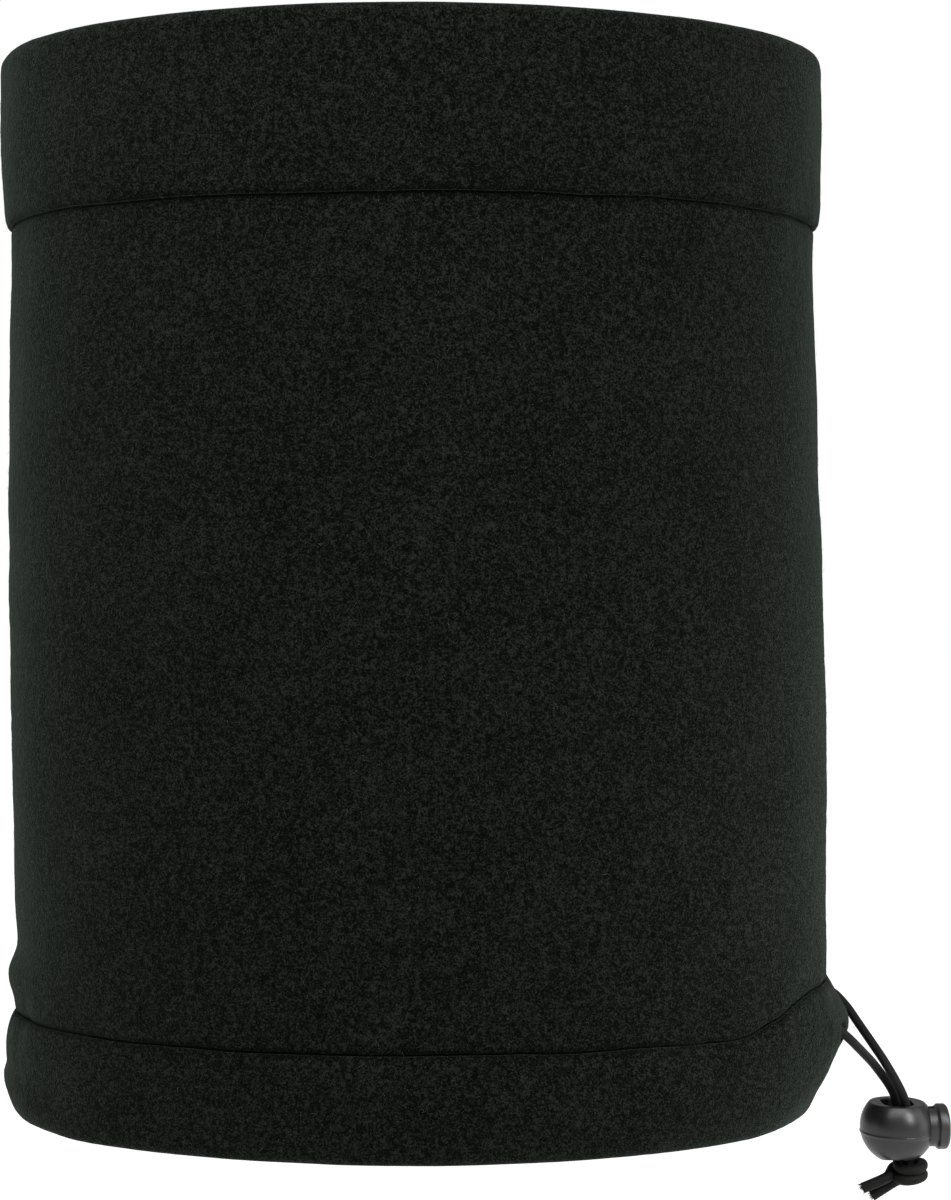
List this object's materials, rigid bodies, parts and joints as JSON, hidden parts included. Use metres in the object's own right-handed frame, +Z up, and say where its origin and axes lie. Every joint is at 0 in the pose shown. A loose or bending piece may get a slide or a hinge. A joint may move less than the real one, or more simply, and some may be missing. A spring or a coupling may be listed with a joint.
{
  "type": "neck gaiter",
  "caption": "Tubular fleece neck gaiter with a doubled top band, a drawcord casing at the bottom and an elastic cord closed by a sprung ball cord lock at one side.",
  "frame": {"origin": "middle of the tube: centre of the oval at half its height, where the wearer's neck holds it", "axes": "+Z up along the tube towards the top band, -Y the front, +X towards the side where the cord lock hangs"},
  "size_m": [0.2308, 0.1344, 0.2751],
  "materials": {
    "fleece": "black brushed polyester fleece with a short mottled pile",
    "thread": "black spun polyester thread",
    "elastic_cord": "black braided elastic cord",
    "lock_plastic": "satin black moulded plastic",
    "plunger_plastic": "satin black moulded plastic, a little lighter",
    "spring_steel": "drawn spring wire"
  },
  "bodies": {
    "gaiter": {"body_panel": "fleece", "top_band": "fleece", "bottom_casing": "fleece", "top_seam_stitching": "thread", "casing_seam_stitching": "thread", "back_seam_stitching": "thread", "front_exit_bartacks": "thread", "rear_exit_bartacks": "thread", "casing_cord": "elastic_cord", "front_lead": "elastic_cord", "rear_lead": "elastic_cord", "cord_knot": "elastic_cord", "front_tail": "elastic_cord", "rear_tail": "elastic_cord"},
    "cord_lock": {"lock_body": "lock_plastic", "lock_spring": "spring_steel"},
    "plunger": {"lock_plunger": "plunger_plastic"}
  },
  "joints": [
    {"name": "lock_slide", "type": "slide", "parent": "gaiter", "child": "cord_lock", "axis": [0, 0, 1], "range_m": [0, 0.01], "deforming": ["front_lead", "rear_lead"]},
    {"name": "plunger_press", "type": "slide", "parent": "cord_lock", "child": "plunger", "axis": [-1, 0, 0], "range_m": [0, 0.0017], "stiffness_N_per_m": 1300, "springref_m": -0.002, "deforming": ["lock_spring"]}
  ]
}
